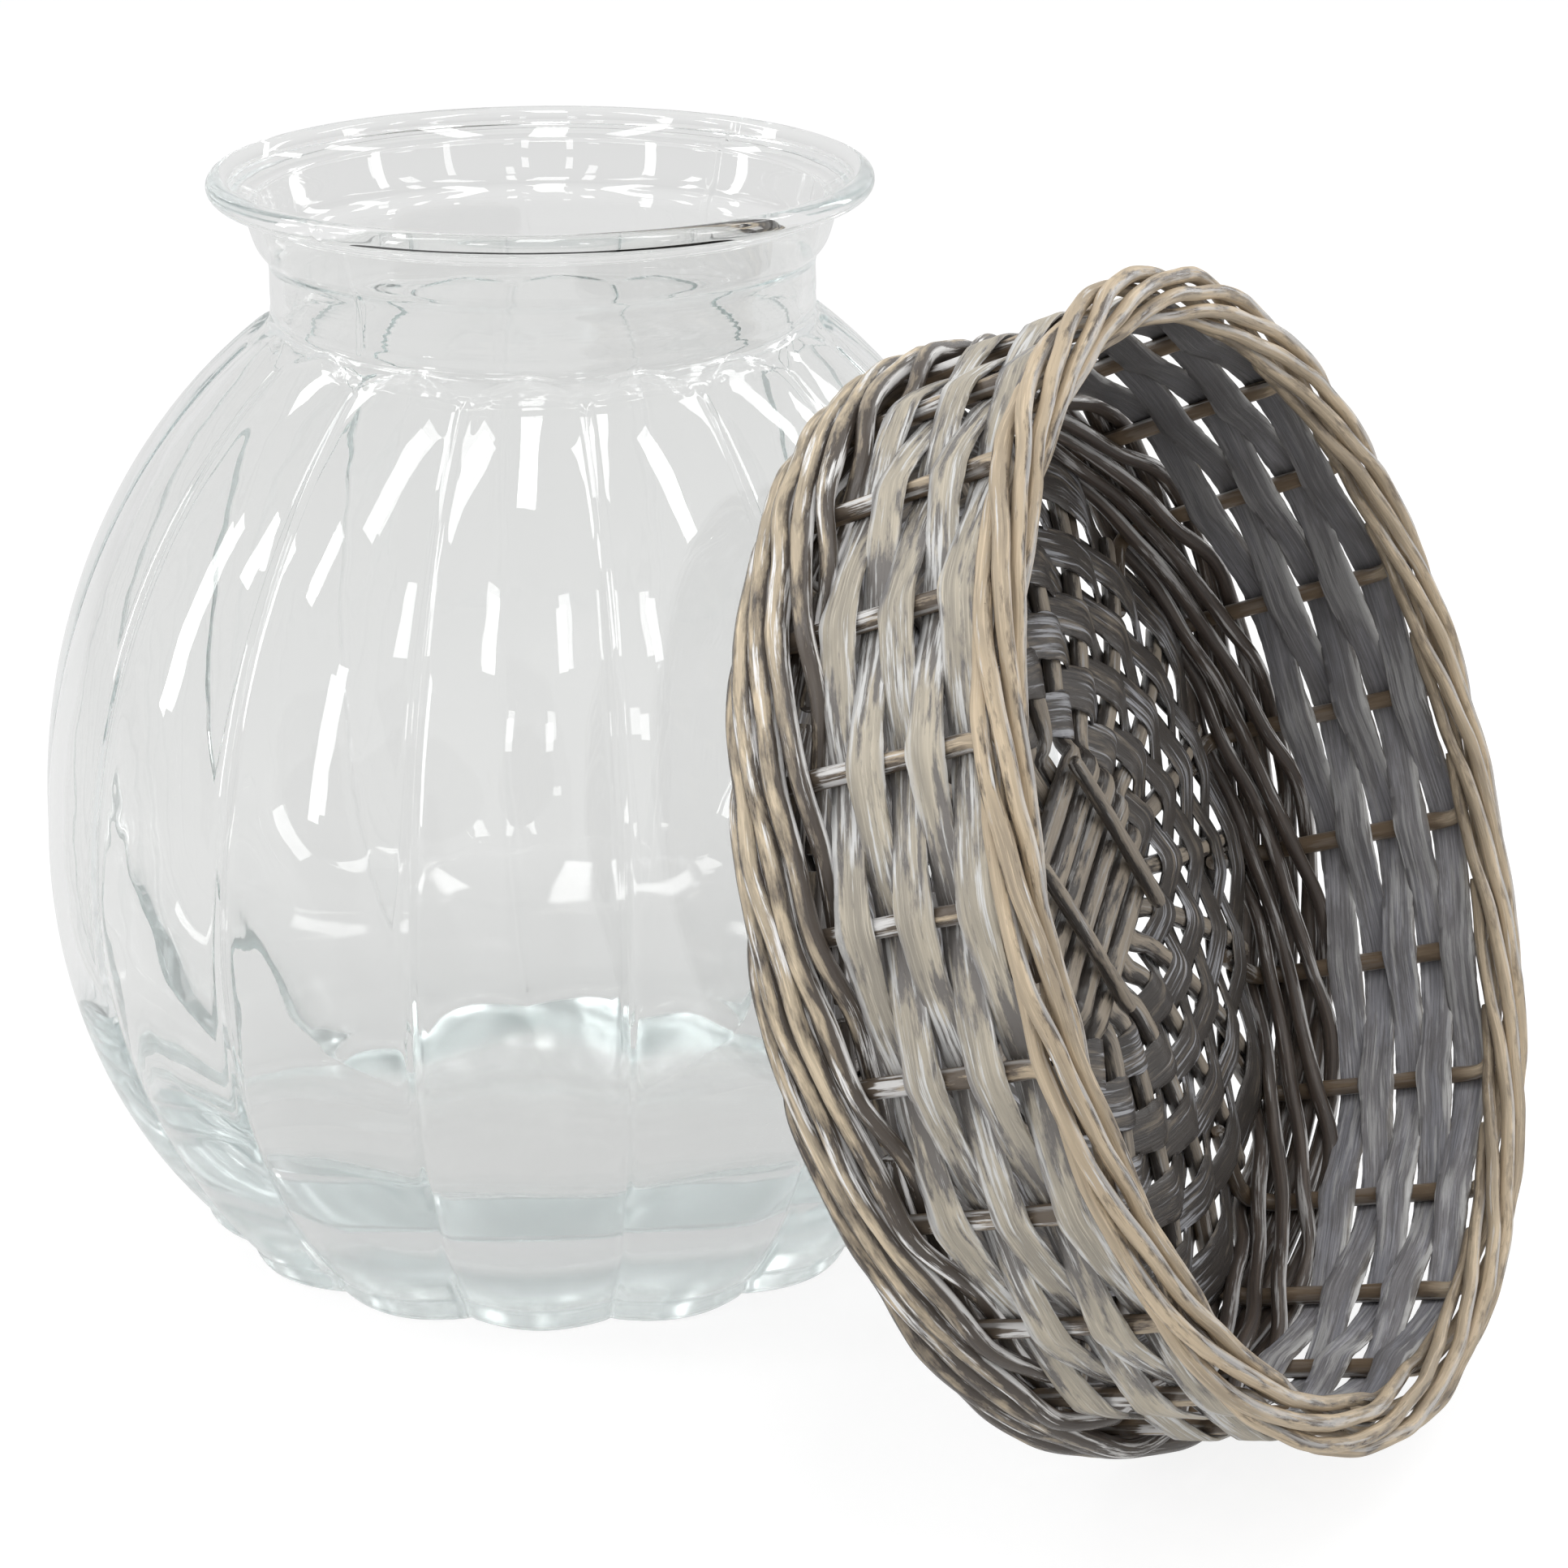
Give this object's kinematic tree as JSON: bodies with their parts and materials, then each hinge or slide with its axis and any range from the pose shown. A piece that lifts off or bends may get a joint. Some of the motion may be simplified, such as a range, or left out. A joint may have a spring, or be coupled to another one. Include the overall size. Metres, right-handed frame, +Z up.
{
  "type": "glass vase with wicker basket",
  "caption": "Melon-lobed clear glass vase with a flared rolled rim, and the shallow round wicker basket that holds it, standing on its edge beside it.",
  "frame": {"origin": "centre of the vase's flat foot, on the surface that both pieces stand on", "axes": "+Z up along the vase's axis; the picture looks along +Y with +X to its right; the basket stands on the edge of its foot at +X and -Y, its back to the vase"},
  "size_m": [0.3888, 0.4057, 0.283],
  "materials": {
    "clear_glass": "clear pressed glass with a faint cool tint",
    "tan_willow": "round rod, grey wash rubbed back to tan",
    "brown_willow": "round rod, dark brown and grey",
    "grey_split_willow": "flat split strip, pale grey wash",
    "dark_split_willow": "flat split strip, charcoal grey",
    "grey_willow_stick": "thick rod, matt grey-brown"
  },
  "bodies": {
    "vase": {"glass_vase": "clear_glass"},
    "basket": {"stake_01": "tan_willow", "stake_02": "tan_willow", "stake_03": "tan_willow", "stake_04": "tan_willow", "stake_05": "tan_willow", "stake_06": "tan_willow", "stake_07": "tan_willow", "stake_08": "tan_willow", "stake_09": "tan_willow", "stake_10": "tan_willow", "stake_11": "tan_willow", "stake_12": "tan_willow", "stake_13": "tan_willow", "stake_14": "tan_willow", "stake_15": "tan_willow", "stake_16": "tan_willow", "stake_17": "tan_willow", "stake_18": "tan_willow", "stake_19": "tan_willow", "stake_20": "tan_willow", "stake_21": "tan_willow", "stake_22": "tan_willow", "stake_23": "tan_willow", "stake_24": "tan_willow", "foot_rod_1": "brown_willow", "foot_rod_2": "brown_willow", "foot_rod_3": "brown_willow", "foot_rod_4": "brown_willow", "foot_rod_5": "brown_willow", "foot_rod_6": "brown_willow", "foot_rod_7": "brown_willow", "foot_rod_8": "brown_willow", "side_strip_1": "grey_split_willow", "side_strip_2": "grey_split_willow", "side_strip_3": "grey_split_willow", "side_strip_4": "grey_split_willow", "side_strip_5": "grey_split_willow", "base_stick_upper_1": "grey_willow_stick", "base_stick_upper_2": "grey_willow_stick", "base_stick_upper_3": "grey_willow_stick", "base_stick_upper_4": "grey_willow_stick", "base_stick_upper_5": "grey_willow_stick", "base_stick_upper_6": "grey_willow_stick", "base_stick_lower_1": "grey_willow_stick", "base_stick_lower_2": "grey_willow_stick", "base_stick_lower_3": "grey_willow_stick", "base_stick_lower_4": "grey_willow_stick", "base_stick_lower_5": "grey_willow_stick", "base_stick_lower_6": "grey_willow_stick", "tie_rod_1": "grey_willow_stick", "tie_rod_2": "grey_willow_stick", "base_round_1": "dark_split_willow", "base_round_2": "dark_split_willow", "base_round_3": "dark_split_willow", "base_round_4": "dark_split_willow", "base_round_5": "dark_split_willow", "base_round_6": "dark_split_willow", "base_round_7": "dark_split_willow", "base_round_8": "dark_split_willow"}
  },
  "joints": [
    {"name": "basket_slide", "type": "slide", "parent": "vase", "child": "basket", "axis": [0.8722, -0.4891, 0], "range_m": [0, 0.2]}
  ]
}
